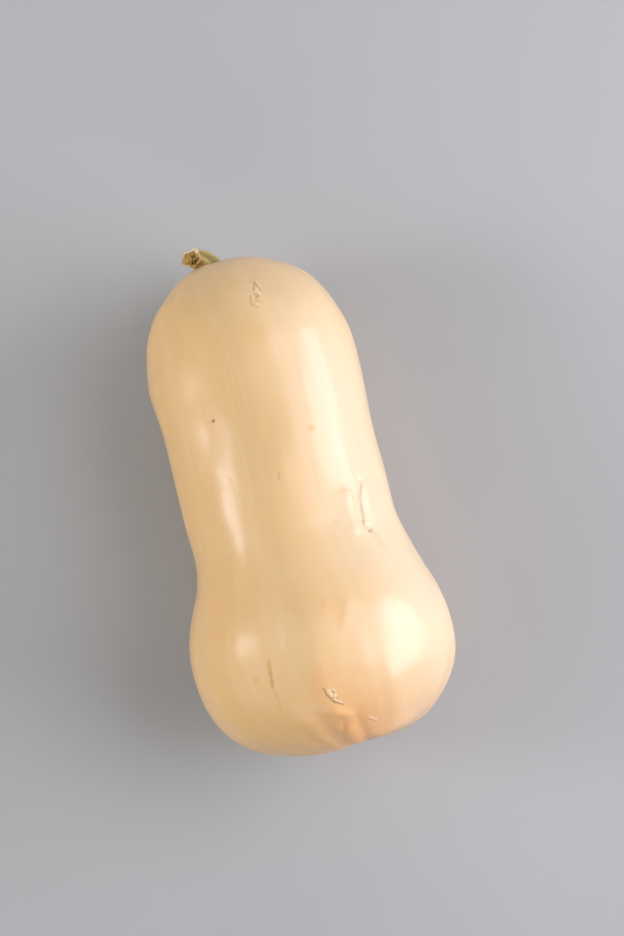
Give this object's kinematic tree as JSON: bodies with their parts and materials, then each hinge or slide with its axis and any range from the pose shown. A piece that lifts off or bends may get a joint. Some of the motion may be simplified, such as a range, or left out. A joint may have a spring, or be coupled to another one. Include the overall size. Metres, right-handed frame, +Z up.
{
  "type": "butternut squash",
  "caption": "Smooth tan squash with a long thick neck and a round bulb, lying on its side, with a short bent cut stem.",
  "frame": {"origin": "bottom centre of the whole squash's box, on the surface it lies on", "axes": "+Y from the blossom end to the stem end, +X across the squash, +Z up"},
  "size_m": [0.1246, 0.2476, 0.1235],
  "materials": {
    "skin": "satin, waxy rind",
    "dry_stem": "dry and rough"
  },
  "bodies": {
    "root": {"squash_fruit": "skin", "stem": "dry_stem"}
  },
  "joints": []
}
